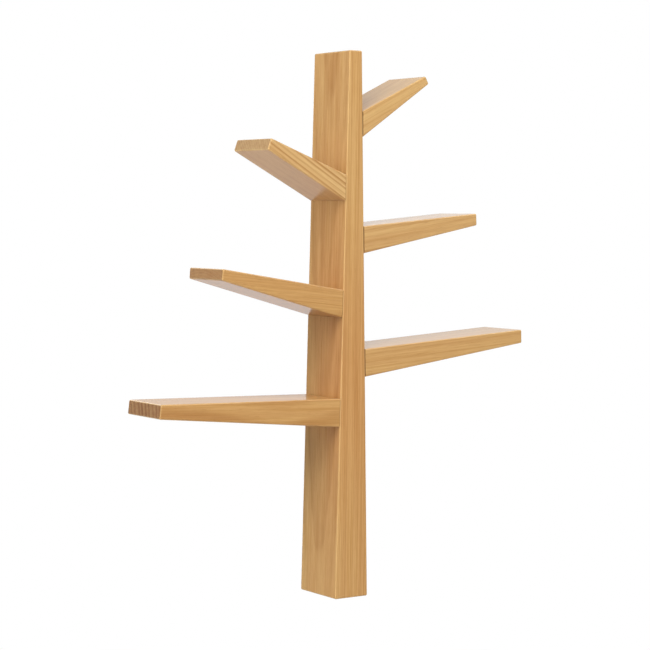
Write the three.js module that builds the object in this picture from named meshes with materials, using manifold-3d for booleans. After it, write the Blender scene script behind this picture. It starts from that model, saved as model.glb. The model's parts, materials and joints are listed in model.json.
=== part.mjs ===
// A bookcase in the shape of a tree: one tapered trunk, and six tapered branches that serve as shelves.
// Millimetres, Z up. The wall is the plane y = 0, and the front faces minus Y.
// The origin is the middle of the trunk's back face. Heights below are counted from the trunk's foot.
// Each branch is drawn to the trunk's side by two cam bolts, which are locked from the trunk's back.

import * as THREE from 'three';
import { mergeVertices } from 'three/addons/utils/BufferGeometryUtils.js';
import Module from 'manifold-3d';

const wasm = await Module();
wasm.setup();

// Trunk
const trunkHeight = 1220;
const trunkDepth = 140;
const trunkFootWidth = 88;
const trunkTopWidth = 34;
const originHeight = trunkHeight / 2;

// Rounding of the wooden edges, and how far the branches' fronts stand back from the trunk's front
const edgeRadius = 3;
const cornerRadius = 3.6;
const frontStep = 0.5;

// Each branch has the height of its upper face at the trunk, as a share of the trunk's height, its thickness
// there, the reach of its upper face from the trunk's middle line, its thickness at the tip, the climb of its
// upper face and the tip's lean
const leftLowHeightShare = 0.368;
const leftLowRootDepth = 63.3;
const leftLowReach = 491;
const leftLowTipDepth = 31.2;
const leftLowClimbAngle = 1.05;
const leftLowTipAngle = 6.5;

const leftMiddleHeightShare = 0.5665;
const leftMiddleRootDepth = 62.2;
const leftMiddleReach = 341;
const leftMiddleTipDepth = 25;
const leftMiddleClimbAngle = 8.95;
const leftMiddleTipAngle = 4.5;

const leftHighHeightShare = 0.7756;
const leftHighRootDepth = 58.2;
const leftHighReach = 220.8;
const leftHighTipDepth = 26.8;
const leftHighClimbAngle = 20.8;
const leftHighTipAngle = 20;

const rightLowHeightShare = 0.457;
const rightLowRootDepth = 62.5;
const rightLowReach = 486.5;
const rightLowTipDepth = 31.4;
const rightLowClimbAngle = 3.95;
const rightLowTipAngle = 1.6;

const rightMiddleHeightShare = 0.682;
const rightMiddleRootDepth = 60.5;
const rightMiddleReach = 346;
const rightMiddleTipDepth = 27.2;
const rightMiddleClimbAngle = 5.35;
const rightMiddleTipAngle = 3.6;

const rightHighHeightShare = 0.8905;
const rightHighRootDepth = 56.6;
const rightHighReach = 194;
const rightHighTipDepth = 19.6;
const rightHighClimbAngle = 26.2;
const rightHighTipAngle = 28.7;

// Waste beyond each branch's root, which is sawn off after the edges have been rounded, and the chamfer of the
// root's upper and lower edges
const rootAllowance = 10;
const rootChamfer = 1;

// Gap kept between pieces that fit or rest on each other, and how far a cutter runs past what it cuts
const fitGap = 0.3;
const overrun = 5;

// Cam bolt: a wood thread in the branch's root, a collar at the joint, and a head that the cam lock grips
const boltSpacing = 32;
const boltForward = 9.5;
const boltThreadRadius = 3;
const boltThreadLength = 20;
const boltThreadPoint = 2;
const boltCollarRadius = 3.9;
const boltCollarLength = 2;
const boltShankRadius = 3;
const boltNeckRadius = 1.8;
const boltHeadRadius = 3.2;
const boltHeadLength = 3.6;
const boltHeadCrown = 1.2;

// Cam lock: a turned cup in the trunk's back, whose slotted wall draws the bolt's head in
const camSet = 24;
const camRadius = 7.2;
const camHeight = 15;
const camInset = 0.3;
const camCavityRadius = 4.8;
const camHeadRoom = 0.4;
const camSlotStartAngle = -32;
const camEntryAngle = 120;
const camDriveLength = 7;
const camDriveWidth = 1.6;
const camDriveDepth = 3.5;

// Dowels: two in each joint, in front of the bolts
const dowelRadius = 5;
const dowelLength = 40;
const dowelChamfer = 1;
const dowelEndRoom = 1;
const dowelRearForward = 55;
const dowelFrontForward = 110;

// Keyhole hangers, let into the trunk's back
const hangerUpperDrop = 70;
const hangerLowerHeight = 150;
const hangerLength = 46;
const hangerRadius = 8;
const hangerThickness = 2;
const hangerInset = 0.5;
const hangerScrewSpacing = 34;
const keyholeEntryRadius = 4.6;
const keyholeSlotRadius = 2.3;
const keyholeEntryDrop = 7;
const keyholeTravel = 14;
const keyholePocketRadius = 5.8;
const keyholePocketDepth = 10;

// Countersunk screws of the hangers
const screwHeadRadius = 3;
const screwHeadHeight = 1.6;
const screwRimHeight = 0.3;
const screwShankRadius = 1.5;
const screwLength = 16;
const screwPoint = 3;

// Facets of round shapes
const edgeSegments = 3;
const holeSegments = 10;
const camSegments = 16;
const cavitySegments = 10;
const rodSegments = 8;

const left = -1;
const right = 1;
const branches = [
  {
    name: 'left_low', side: left, heightShare: leftLowHeightShare, reach: leftLowReach,
    rootDepth: leftLowRootDepth, tipDepth: leftLowTipDepth,
    climbAngle: leftLowClimbAngle, tipAngle: leftLowTipAngle,
  },
  {
    name: 'left_middle', side: left, heightShare: leftMiddleHeightShare, reach: leftMiddleReach,
    rootDepth: leftMiddleRootDepth, tipDepth: leftMiddleTipDepth,
    climbAngle: leftMiddleClimbAngle, tipAngle: leftMiddleTipAngle,
  },
  {
    name: 'left_high', side: left, heightShare: leftHighHeightShare, reach: leftHighReach,
    rootDepth: leftHighRootDepth, tipDepth: leftHighTipDepth,
    climbAngle: leftHighClimbAngle, tipAngle: leftHighTipAngle,
  },
  {
    name: 'right_low', side: right, heightShare: rightLowHeightShare, reach: rightLowReach,
    rootDepth: rightLowRootDepth, tipDepth: rightLowTipDepth,
    climbAngle: rightLowClimbAngle, tipAngle: rightLowTipAngle,
  },
  {
    name: 'right_middle', side: right, heightShare: rightMiddleHeightShare, reach: rightMiddleReach,
    rootDepth: rightMiddleRootDepth, tipDepth: rightMiddleTipDepth,
    climbAngle: rightMiddleClimbAngle, tipAngle: rightMiddleTipAngle,
  },
  {
    name: 'right_high', side: right, heightShare: rightHighHeightShare, reach: rightHighReach,
    rootDepth: rightHighRootDepth, tipDepth: rightHighTipDepth,
    climbAngle: rightHighClimbAngle, tipAngle: rightHighTipAngle,
  },
];

const boltPlaces = [
  { name: 'upper', upward: boltSpacing / 2 },
  { name: 'lower', upward: -boltSpacing / 2 },
];
const dowelPlaces = [
  { name: 'front', forward: dowelFrontForward },
  { name: 'rear', forward: dowelRearForward },
];
const hangerPlaces = [
  { name: 'upper', height: trunkHeight - hangerUpperDrop },
  { name: 'lower', height: hangerLowerHeight },
];
const hangerScrewPlaces = [
  { name: 'upper', upward: hangerScrewSpacing / 2 },
  { name: 'lower', upward: -hangerScrewSpacing / 2 },
];

const upAxis = new THREE.Vector3(0, 1, 0);
const wallDirection = new THREE.Vector3(0, 1, 0);

// Turns a closed geometry into a solid that can be cut
function solidOf(geometry) {
  const bare = geometry.clone();
  bare.deleteAttribute('normal');
  bare.deleteAttribute('uv');
  const merged = mergeVertices(bare);
  const corners = merged.index.array;
  const triangles = [];
  for (let i = 0; i < corners.length; i += 3) {
    const [a, b, c] = corners.slice(i, i + 3);
    if (a !== b && b !== c && c !== a) {
      triangles.push(a, b, c);
    }
  }
  return new wasm.Manifold(new wasm.Mesh({
    numProp: 3,
    vertProperties: new Float32Array(merged.attributes.position.array),
    triVerts: new Uint32Array(triangles),
  }));
}

// Cuts the cutters out of a body and gives the geometry that is left
function cut(body, cutters) {
  let solid = solidOf(body);
  for (const cutter of cutters) {
    solid = solid.subtract(solidOf(cutter));
  }
  const mesh = solid.getMesh();
  const geometry = new THREE.BufferGeometry();
  geometry.setAttribute('position', new THREE.BufferAttribute(mesh.vertProperties, mesh.numProp));
  geometry.setIndex(new THREE.BufferAttribute(mesh.triVerts, 1));
  geometry.computeVertexNormals();
  return geometry;
}

// Materials
function pine() {
  return new THREE.MeshStandardMaterial({ color: 0xc99d64, roughness: 0.42, metalness: 0, flatShading: true });
}

function beech() {
  return new THREE.MeshStandardMaterial({ color: 0xd8b98c, roughness: 0.7, metalness: 0, flatShading: true });
}

function zincPlate() {
  return new THREE.MeshStandardMaterial({ color: 0xb9bcc0, roughness: 0.35, metalness: 1, flatShading: true });
}

function steel() {
  return new THREE.MeshStandardMaterial({ color: 0x9fa3a8, roughness: 0.4, metalness: 1, flatShading: true });
}

function piece(name, geometry, material) {
  const mesh = new THREE.Mesh(geometry, material);
  mesh.name = name;
  return mesh;
}

// The trunk tapers evenly from foot to top, so its width and the lean of its sides follow from its sizes
function halfWidthAt(height) {
  const taper = (trunkTopWidth - trunkFootWidth) * height / trunkHeight;
  return (trunkFootWidth + taper) / 2;
}

const sideLean = Math.atan((trunkFootWidth - trunkTopWidth) / 2 / trunkHeight);

function heightOf(branch) {
  return branch.heightShare * trunkHeight;
}

// Where a branch meets the trunk's side: the middle of the joint on the wall plane, the direction square out
// of the side, and the direction up along it
function jointOf(branch) {
  const height = heightOf(branch) - branch.rootDepth / 2;
  return {
    middle: new THREE.Vector3(branch.side * halfWidthAt(height), 0, height),
    out: new THREE.Vector3(branch.side * Math.cos(sideLean), 0, Math.sin(sideLean)),
    up: new THREE.Vector3(-branch.side * Math.sin(sideLean), 0, Math.cos(sideLean)),
  };
}

function placeInJoint(joint, outward, forward, upward) {
  const place = joint.middle.clone();
  place.addScaledVector(joint.out, outward);
  place.addScaledVector(joint.up, upward);
  place.addScaledVector(wallDirection, -forward);
  return place;
}

// An outline through corners that run anticlockwise, each rounded by an arc
function roundedOutline(corners, radius) {
  const outline = new THREE.Shape();
  corners.forEach((corner, i) => {
    const before = corners[(i + corners.length - 1) % corners.length];
    const after = corners[(i + 1) % corners.length];
    const toBefore = before.clone().sub(corner).normalize();
    const toAfter = after.clone().sub(corner).normalize();
    const halfAngle = Math.acos(toBefore.dot(toAfter)) / 2;
    const inward = toBefore.clone().add(toAfter).normalize();
    const centre = corner.clone().addScaledVector(inward, radius / Math.sin(halfAngle));
    const start = corner.clone().addScaledVector(toBefore, radius / Math.tan(halfAngle)).sub(centre);
    const end = corner.clone().addScaledVector(toAfter, radius / Math.tan(halfAngle)).sub(centre);
    outline.absarc(centre.x, centre.y, radius, start.angle(), end.angle(), false);
  });
  return outline;
}

// A board of an upright outline, with its back on the wall plane and all its edges rounded
function roundedBoard(corners, depth) {
  const board = new THREE.ExtrudeGeometry(roundedOutline(corners, cornerRadius), {
    depth: depth - 2 * edgeRadius,
    bevelThickness: edgeRadius,
    bevelSize: edgeRadius,
    bevelOffset: -edgeRadius,
    bevelSegments: edgeSegments,
    curveSegments: edgeSegments,
  });
  board.translate(0, 0, edgeRadius);
  board.rotateX(Math.PI / 2);
  return board;
}

// A rod that lies along a joint's outward direction
function rodInJoint(joint, radius, from, to, forward, upward) {
  const rod = new THREE.CylinderGeometry(radius, radius, to - from, holeSegments);
  rod.applyQuaternion(new THREE.Quaternion().setFromUnitVectors(upAxis, joint.out));
  const middle = placeInJoint(joint, (from + to) / 2, forward, upward);
  rod.translate(middle.x, middle.y, middle.z);
  return rod;
}

// A round bore from behind the trunk's back to a depth in front of the wall
function boreInBack(place, radius, depth, segments) {
  const bore = new THREE.CylinderGeometry(radius, radius, depth + overrun, segments);
  bore.translate(place.x, (overrun - depth) / 2, place.z);
  return bore;
}

// An upright block with round ends about two heights, from one depth in front of the wall to another
function roundEndedBlock(radius, bottom, top, near, far) {
  const outline = new THREE.Shape();
  outline.absarc(0, top, radius, 0, Math.PI, false);
  outline.absarc(0, bottom, radius, Math.PI, 2 * Math.PI, false);
  const block = new THREE.ExtrudeGeometry(outline, {
    depth: far - near,
    bevelEnabled: false,
    curveSegments: holeSegments / 2,
  });
  block.rotateX(Math.PI / 2);
  block.translate(0, -near, 0);
  return block;
}

// Holes that a joint needs in the trunk: a bore for each bolt and its cam, and one for each dowel
function trunkJointHoles(branch) {
  const joint = jointOf(branch);
  const holes = [];
  for (const { upward } of boltPlaces) {
    const camPlace = placeInJoint(joint, -camSet, 0, upward);
    const pocketDepth = camInset + camHeight + fitGap;
    holes.push(boreInBack(camPlace, camRadius + fitGap, pocketDepth, camSegments));
    holes.push(rodInJoint(joint, boltCollarRadius + fitGap, -camSet, overrun, boltForward, upward));
  }
  for (const { forward } of dowelPlaces) {
    const depth = dowelLength / 2 + dowelEndRoom;
    holes.push(rodInJoint(joint, dowelRadius + fitGap, -depth, overrun, forward, 0));
  }
  return holes;
}

function branchJointHoles(branch) {
  const joint = jointOf(branch);
  const boltDepth = boltThreadLength + dowelEndRoom;
  const dowelDepth = dowelLength / 2 + dowelEndRoom;
  const boltHoles = boltPlaces.map(({ upward }) => (
    rodInJoint(joint, boltThreadRadius + fitGap, -overrun, boltDepth, boltForward, upward)));
  const dowelHoles = dowelPlaces.map(({ forward }) => (
    rodInJoint(joint, dowelRadius + fitGap, -overrun, dowelDepth, forward, 0)));
  return [...boltHoles, ...dowelHoles];
}

// Recess for a hanger's plate, the pocket behind its keyhole and the pilot holes of its screws
function hangerHoles(height) {
  const plateFar = hangerInset + hangerThickness + fitGap;
  const halfPlate = hangerLength / 2 - hangerRadius;
  const recess = roundEndedBlock(hangerRadius + fitGap, -halfPlate, halfPlate, -overrun, plateFar);
  const pocketTop = keyholeTravel - keyholeEntryDrop;
  const pocket = roundEndedBlock(keyholePocketRadius, -keyholeEntryDrop, pocketTop, -overrun,
    keyholePocketDepth);
  const pilots = hangerScrewPlaces.map(({ upward }) => (
    boreInBack(new THREE.Vector3(0, 0, upward), screwShankRadius + fitGap, hangerInset + screwLength + fitGap,
      rodSegments)));
  const holes = [recess, pocket, ...pilots];
  holes.forEach((hole) => hole.translate(0, 0, height));
  return holes;
}

function trunk() {
  const corners = [
    new THREE.Vector2(-trunkFootWidth / 2, 0),
    new THREE.Vector2(trunkFootWidth / 2, 0),
    new THREE.Vector2(trunkTopWidth / 2, trunkHeight),
    new THREE.Vector2(-trunkTopWidth / 2, trunkHeight),
  ];
  const holes = [
    ...branches.flatMap(trunkJointHoles),
    ...hangerPlaces.flatMap(({ height }) => hangerHoles(height)),
  ];
  return piece('trunk', cut(roundedBoard(corners, trunkDepth), holes), pine());
}

// The point that lies a length past the end of a line from another point
function pointPast(end, start, length) {
  return end.clone().addScaledVector(end.clone().sub(start).normalize(), length);
}

// The upper and lower corner of a branch's root, seen from the front and drawn for the right side
function rootCorners(branch) {
  const height = heightOf(branch);
  const underside = height - branch.rootDepth;
  return {
    rootTop: new THREE.Vector2(halfWidthAt(height) + fitGap, height),
    rootBottom: new THREE.Vector2(halfWidthAt(underside) + fitGap, underside),
  };
}

// A branch's outline, drawn for the right side: its upper face climbs from the trunk to the tip, its underside
// climbs faster, and the tip is cut across at its own angle. Both lines run on past the root by the waste that
// is sawn off.
function branchCorners(branch) {
  const climb = THREE.MathUtils.degToRad(branch.climbAngle);
  const tipLean = THREE.MathUtils.degToRad(branch.tipAngle);
  const { rootTop, rootBottom } = rootCorners(branch);
  const tipTop = new THREE.Vector2(branch.reach, rootTop.y + (branch.reach - rootTop.x) * Math.tan(climb));
  const tipBottom = new THREE.Vector2(
    tipTop.x + branch.tipDepth * Math.sin(tipLean),
    tipTop.y - branch.tipDepth * Math.cos(tipLean),
  );
  return [
    pointPast(rootBottom, tipBottom, rootAllowance),
    tipBottom,
    tipTop,
    pointPast(rootTop, tipTop, rootAllowance),
  ];
}

// The waste, up to a plane that is square with the joint and clear of the trunk's side
function rootWaste(branch) {
  const place = placeInJoint(jointOf(branch), fitGap - rootAllowance, trunkDepth / 2, 0);
  const waste = new THREE.BoxGeometry(2 * rootAllowance, trunkDepth + 2 * overrun, 2 * branch.rootDepth);
  waste.rotateY(-branch.side * sideLean);
  waste.translate(place.x, place.y, place.z);
  return waste;
}

// Square bars that stand on an edge and chamfer the root's upper and lower corners
function rootChamferBars(branch) {
  const width = rootChamfer * Math.SQRT2;
  return Object.values(rootCorners(branch)).map((corner) => {
    const bar = new THREE.BoxGeometry(width, trunkDepth + 2 * overrun, width);
    bar.rotateY(Math.PI / 4);
    bar.translate(branch.side * corner.x, -trunkDepth / 2, corner.y);
    return bar;
  });
}

function branch(shape) {
  let corners = branchCorners(shape);
  if (shape.side === left) {
    corners = corners.map((corner) => new THREE.Vector2(-corner.x, corner.y)).reverse();
  }
  const board = roundedBoard(corners, trunkDepth - frontStep);
  const cutters = [rootWaste(shape), ...rootChamferBars(shape), ...branchJointHoles(shape)];
  return piece(`branch_${shape.name}`, cut(board, cutters), pine());
}

// Turned shapes have their axis on Y, with the end that goes into the wood deepest first
function turned(profile, segments) {
  return new THREE.LatheGeometry(profile.map(([radius, along]) => new THREE.Vector2(radius, along)), segments);
}

// The head's shoulder lies against the inside of the cam's wall, where the faceted wall is as wide as the head
const camCavityFlat = camCavityRadius * Math.cos(Math.PI / cavitySegments);
const camWallAtHead = Math.sqrt(camCavityFlat ** 2 - boltHeadRadius ** 2);
const boltShoulder = -camSet + camWallAtHead - fitGap;

function camBoltGeometry() {
  const headEnd = boltShoulder - boltHeadLength;
  const neckEnd = -camSet + camRadius + 2 * fitGap;
  return turned([
    [0, headEnd],
    [boltHeadRadius - boltHeadCrown, headEnd],
    [boltHeadRadius, headEnd + boltHeadCrown],
    [boltHeadRadius, boltShoulder],
    [boltNeckRadius, boltShoulder],
    [boltNeckRadius, neckEnd],
    [boltShankRadius, neckEnd],
    [boltShankRadius, -boltCollarLength],
    [boltCollarRadius, -boltCollarLength],
    [boltCollarRadius, 0],
    [boltThreadRadius, 0],
    [boltThreadRadius, boltThreadLength - boltThreadPoint],
    [boltThreadRadius - boltThreadPoint / 2, boltThreadLength],
    [0, boltThreadLength],
  ], rodSegments);
}

// The cam's own axis is Z, its face is at z = 0 and X points at the branch
function camLockGeometry() {
  const body = new THREE.CylinderGeometry(camRadius, camRadius, camHeight, camSegments);
  body.rotateX(Math.PI / 2);
  body.translate(0, 0, -camHeight / 2);

  const boltDepth = boltForward - camInset;
  const entryRadius = boltHeadRadius + camHeadRoom;
  const cavity = new THREE.CylinderGeometry(camCavityRadius, camCavityRadius, 2 * entryRadius, cavitySegments);
  cavity.rotateX(Math.PI / 2);
  cavity.translate(0, 0, -boltDepth);

  const entryAngle = THREE.MathUtils.degToRad(camEntryAngle);
  const entry = new THREE.CylinderGeometry(entryRadius, entryRadius, camRadius + overrun, cavitySegments);
  entry.rotateZ(-Math.PI / 2);
  entry.translate((camRadius + overrun) / 2, 0, -boltDepth);
  entry.rotateZ(entryAngle);

  const slotStart = THREE.MathUtils.degToRad(camSlotStartAngle);
  const slotOutline = new THREE.Shape();
  slotOutline.absarc(0, 0, camRadius + overrun, slotStart, entryAngle, false);
  slotOutline.absarc(0, 0, camCavityRadius / 2, entryAngle, slotStart, true);
  const slotHeight = 2 * (boltNeckRadius + camHeadRoom);
  const slot = new THREE.ExtrudeGeometry(slotOutline, {
    depth: slotHeight,
    bevelEnabled: false,
    curveSegments: cavitySegments / 2,
  });
  slot.translate(0, 0, -boltDepth - slotHeight / 2);

  const driveArm = new THREE.BoxGeometry(camDriveLength, camDriveWidth, camDriveDepth + overrun);
  driveArm.translate(0, 0, (overrun - camDriveDepth) / 2);
  const driveCrossArm = driveArm.clone().rotateZ(Math.PI / 2);

  return cut(body, [cavity, entry, slot, driveArm, driveCrossArm]);
}

function dowelGeometry() {
  const end = dowelLength / 2;
  return turned([
    [0, -end],
    [dowelRadius - dowelChamfer, -end],
    [dowelRadius, dowelChamfer - end],
    [dowelRadius, end - dowelChamfer],
    [dowelRadius - dowelChamfer, end],
    [0, end],
  ], holeSegments);
}

// The bolts, cams and dowels of one joint
function jointHardware(shape) {
  const joint = jointOf(shape);
  const along = new THREE.Quaternion().setFromUnitVectors(upAxis, joint.out);
  const camSideways = new THREE.Vector3().crossVectors(wallDirection, joint.out);
  const camTurn = new THREE.Matrix4().makeBasis(joint.out, camSideways, wallDirection);
  const hardware = new THREE.Group();

  for (const place of boltPlaces) {
    const bolt = piece(`cam_bolt_${shape.name}_${place.name}`, camBoltGeometry(), steel());
    bolt.quaternion.copy(along);
    bolt.position.copy(placeInJoint(joint, 0, boltForward, place.upward));
    const cam = piece(`cam_lock_${shape.name}_${place.name}`, camLockGeometry(), zincPlate());
    cam.quaternion.setFromRotationMatrix(camTurn);
    cam.position.copy(placeInJoint(joint, -camSet, camInset, place.upward));
    hardware.add(bolt, cam);
  }
  for (const place of dowelPlaces) {
    const dowel = piece(`dowel_${shape.name}_${place.name}`, dowelGeometry(), beech());
    dowel.quaternion.copy(along);
    dowel.position.copy(placeInJoint(joint, 0, place.forward, 0));
    hardware.add(dowel);
  }
  return hardware;
}

// A screw's face is at y = 0 and its point is at the front, with room around it for the plate's countersink
function screwGeometry(room) {
  return turned([
    [0, -screwLength - room],
    [screwShankRadius + room, screwPoint - screwLength - room],
    [screwShankRadius + room, -screwHeadHeight - room],
    [screwHeadRadius + room, -screwRimHeight - room],
    [screwHeadRadius + room, room],
    [0, room],
  ], rodSegments);
}

function hangerGeometry() {
  const halfPlate = hangerLength / 2 - hangerRadius;
  const plate = roundEndedBlock(hangerRadius, -halfPlate, halfPlate, 0, hangerThickness);
  const farSide = hangerThickness + overrun;
  const entry = roundEndedBlock(keyholeEntryRadius, -keyholeEntryDrop, -keyholeEntryDrop + fitGap, -overrun,
    farSide);
  const slotTop = keyholeTravel - keyholeEntryDrop;
  const slot = roundEndedBlock(keyholeSlotRadius, -keyholeEntryDrop, slotTop, -overrun, farSide);
  const countersinks = hangerScrewPlaces.map(({ upward }) => screwGeometry(fitGap).translate(0, 0, upward));
  return cut(plate, [entry, slot, ...countersinks]);
}

function hanger({ name, height }) {
  const group = new THREE.Group();
  group.position.set(0, -hangerInset, height);
  group.add(piece(`hanger_${name}`, hangerGeometry(), zincPlate()));
  for (const place of hangerScrewPlaces) {
    const screw = piece(`hanger_screw_${name}_${place.name}`, screwGeometry(0), steel());
    screw.position.z = place.upward;
    group.add(screw);
  }
  return group;
}

const tree = new THREE.Group();
tree.position.z = -originHeight;
tree.add(trunk());
tree.add(...branches.map(branch));
tree.add(...branches.map(jointHardware));
tree.add(...hangerPlaces.map(hanger));

const bookcase = new THREE.Group();
bookcase.add(tree);

export default bookcase;
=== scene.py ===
# %% [markdown]
# # A bookcase in the shape of a tree
#
# One tapered trunk of honey-stained pine hangs on the wall, and six tapered branches grow out of its sides
# and carry the books. The trunk's back hides the fittings: cam locks that draw each branch tight, and two
# keyhole plates that hang on wall screws.
#
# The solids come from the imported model, in metres, with the wall as the plane y = 0, the front towards
# minus Y and Z up. This lesson gives them their looks: finer boards, lacquered wood with real growth rings,
# and metal.

# %% Load the frame
import json
import math

import bpy
import bmesh
from mathutils import Matrix, Vector

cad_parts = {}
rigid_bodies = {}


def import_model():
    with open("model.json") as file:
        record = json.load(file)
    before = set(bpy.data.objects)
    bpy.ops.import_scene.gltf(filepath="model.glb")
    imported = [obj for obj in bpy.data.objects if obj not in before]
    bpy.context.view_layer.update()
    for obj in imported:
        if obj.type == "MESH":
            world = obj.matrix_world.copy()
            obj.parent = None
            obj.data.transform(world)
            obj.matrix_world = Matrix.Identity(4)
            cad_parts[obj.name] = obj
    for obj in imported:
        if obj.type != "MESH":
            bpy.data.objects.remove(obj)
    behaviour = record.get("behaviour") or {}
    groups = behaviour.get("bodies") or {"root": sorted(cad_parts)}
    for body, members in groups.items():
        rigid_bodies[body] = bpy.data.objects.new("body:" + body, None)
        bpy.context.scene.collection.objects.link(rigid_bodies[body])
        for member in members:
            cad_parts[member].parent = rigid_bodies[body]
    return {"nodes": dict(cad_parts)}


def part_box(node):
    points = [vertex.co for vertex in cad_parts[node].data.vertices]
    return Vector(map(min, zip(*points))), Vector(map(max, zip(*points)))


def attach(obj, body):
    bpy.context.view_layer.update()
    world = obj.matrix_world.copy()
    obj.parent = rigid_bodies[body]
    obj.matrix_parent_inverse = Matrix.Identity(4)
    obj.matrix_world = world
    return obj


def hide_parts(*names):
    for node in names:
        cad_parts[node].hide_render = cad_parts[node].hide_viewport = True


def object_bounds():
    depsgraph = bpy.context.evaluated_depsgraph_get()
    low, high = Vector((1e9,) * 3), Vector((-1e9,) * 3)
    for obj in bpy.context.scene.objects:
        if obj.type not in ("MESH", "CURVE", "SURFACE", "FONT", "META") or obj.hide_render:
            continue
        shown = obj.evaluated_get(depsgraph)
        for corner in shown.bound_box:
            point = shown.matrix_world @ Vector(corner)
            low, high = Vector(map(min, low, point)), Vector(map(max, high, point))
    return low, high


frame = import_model()
solid_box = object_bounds()
BODY = "root"
MM = 0.001
TO_WALL = Vector((0, 1, 0))
collection = bpy.context.scene.collection


def sorted_names(start):
    """The names of the solids that start so."""
    return sorted(name for name in frame["nodes"] if name.startswith(start))


def linked(name, data):
    """A new object in the scene, which shows a mesh, a lamp or a camera."""
    item = bpy.data.objects.new(name, data)
    collection.objects.link(item)
    return item


branch_names = sorted_names("branch_")
print("branches:", ", ".join(branch_names))

# %% [markdown]
# ## Camera
#
# The bookcase was photographed with a long lens, from the front and the left, a little above its middle.
# The viewpoint was worked out from the corners of the boards, so the camera needs no shift: it is only
# placed, turned, tilted and rolled a little.

# %% Camera
LENS = 109.85
FARTHEST_SEEN = 100
VIEWPOINT = Vector((-2.5412, -3.7411, 0.25132))
HEADING = math.radians(34.376)
DIP = math.radians(3.24)
ROLL = math.radians(0.445)

camera_data = bpy.data.cameras.new("camera")
camera_data.lens = LENS
camera_data.clip_end = FARTHEST_SEEN
camera = linked("camera", camera_data)
level_gaze = Matrix.Rotation(-HEADING, 4, "Z") @ Matrix.Rotation(math.pi / 2 - DIP, 4, "X")
camera.matrix_world = Matrix.Translation(VIEWPOINT) @ level_gaze @ Matrix.Rotation(ROLL, 4, "Z")
bpy.context.scene.camera = camera
bpy.context.scene.view_settings.view_transform = "Standard"
print("camera", round(VIEWPOINT.length, 2), "m from the middle of the trunk's back")

# %% [markdown]
# ## Writing node trees as sums
#
# A material is a tree of small nodes. Long chains of them are hard to read, so the first class below wraps
# an output of a node and lets it stand in an ordinary Python sum: every operator adds one Math node. The
# second class is the tree. Its `node` method adds any other node, from the node's type, its settings and
# what goes into its sockets, and colours and vectors are joined by Mix and Vector Math nodes.

# %% Values that stand in sums
def operator(operation, reflected=False):
    """A Python operator that adds a Math node; a reflected one has the value on its right."""
    def add_node(value, other):
        return value.nodes.math(operation, *((other, value) if reflected else (value, other)))
    return add_node


class Value:
    """An output of a node, which can stand in a sum."""

    def __init__(self, nodes, socket):
        self.nodes = nodes
        self.socket = socket

    def output(self, name):
        """Another output of the same node."""
        return Value(self.nodes, self.socket.node.outputs[name])

    __add__ = __radd__ = operator("ADD")
    __mul__ = __rmul__ = operator("MULTIPLY")
    __sub__ = operator("SUBTRACT")
    __rsub__ = operator("SUBTRACT", reflected=True)
    __truediv__ = operator("DIVIDE")
    __rtruediv__ = operator("DIVIDE", reflected=True)
    __pow__ = operator("POWER")

    def __neg__(self):
        return -1 * self


print("1 - value adds a Math node that subtracts")

# %% Trees of nodes
class Nodes:
    """A node tree that is being written."""

    # The sockets of a Mix node that mixes colours.
    COLOUR_MIX = {"factor": 0, "low": 6, "high": 7, "result": 2}

    def __init__(self, tree):
        self.tree = tree

    def node(self, kind, settings=None, inputs=None, output=0):
        """Adds a node, and gives one of its outputs."""
        node = self.tree.nodes.new(kind)
        for name, setting in (settings or {}).items():
            setattr(node, name, setting)
        self.feed_all(node, inputs or {})
        return Value(self, node.outputs[output])

    def feed_all(self, node, inputs):
        for key, value in inputs.items():
            self.feed(node.inputs[key], value)

    def feed(self, socket, value):
        """Links a value to a socket, or a list of values one after another, or sets a plain number."""
        if isinstance(value, Value):
            self.tree.links.new(value.socket, socket)
        elif isinstance(value, list):
            for part in value:
                self.feed(socket, part)
        else:
            socket.default_value = value

    def math(self, operation, *values):
        return self.node("ShaderNodeMath", {"operation": operation}, dict(enumerate(values)))

    def vector(self, operation, *values, output=0):
        return self.node("ShaderNodeVectorMath", {"operation": operation}, dict(enumerate(values)), output)

    def colour_mix(self, low, high, factor, blend="MIX"):
        place = self.COLOUR_MIX
        inputs = {place["factor"]: factor, place["low"]: low, place["high"]: high}
        return self.node("ShaderNodeMix", {"data_type": "RGBA", "blend_type": blend}, inputs, place["result"])

    def smooth_step(self, value, start, end):
        settings = {"interpolation_type": "SMOOTHSTEP"}
        return self.node("ShaderNodeMapRange", settings, {"Value": value, "From Min": start, "From Max": end})

    def attribute(self, name, output="Fac"):
        return self.node("ShaderNodeAttribute", {"attribute_name": name}, output=output)

    def bump(self, height, strength, distance):
        inputs = {"Height": height, "Strength": strength, "Distance": distance}
        return self.node("ShaderNodeBump", None, inputs)


def new_finish(name):
    """A new material, its tree and its surface shader."""
    finish = bpy.data.materials.new(name)
    finish.use_nodes = True
    return finish, Nodes(finish.node_tree), finish.node_tree.nodes["Principled BSDF"]


print("a sum of values adds nodes of the type ShaderNodeMath")

# %% [markdown]
# ## Studio
#
# The photograph has a plain white ground. Here the world and the floor are white to the camera and to
# reflections, so the lacquer mirrors white, while what they shed on the wood stays at a plain level. The
# floor lies well below the foot, because the bookcase hangs on the wall. Near the bookcase part of its
# white is real light, so it keeps a soft shadow.

# %% White to the camera and to reflections
WHITE = (1, 1, 1, 1)
SKY_FILL = 0.02


def seen_directly(nodes):
    """1 for the rays that show a thing to the camera or in a reflection, 0 for the rays that light it."""
    path = nodes.node("ShaderNodeLightPath", output="Is Camera Ray")
    mirrored = nodes.math("MAXIMUM", path.output("Is Glossy Ray"), path.output("Is Transmission Ray"))
    return nodes.math("MAXIMUM", path, mirrored)


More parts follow.
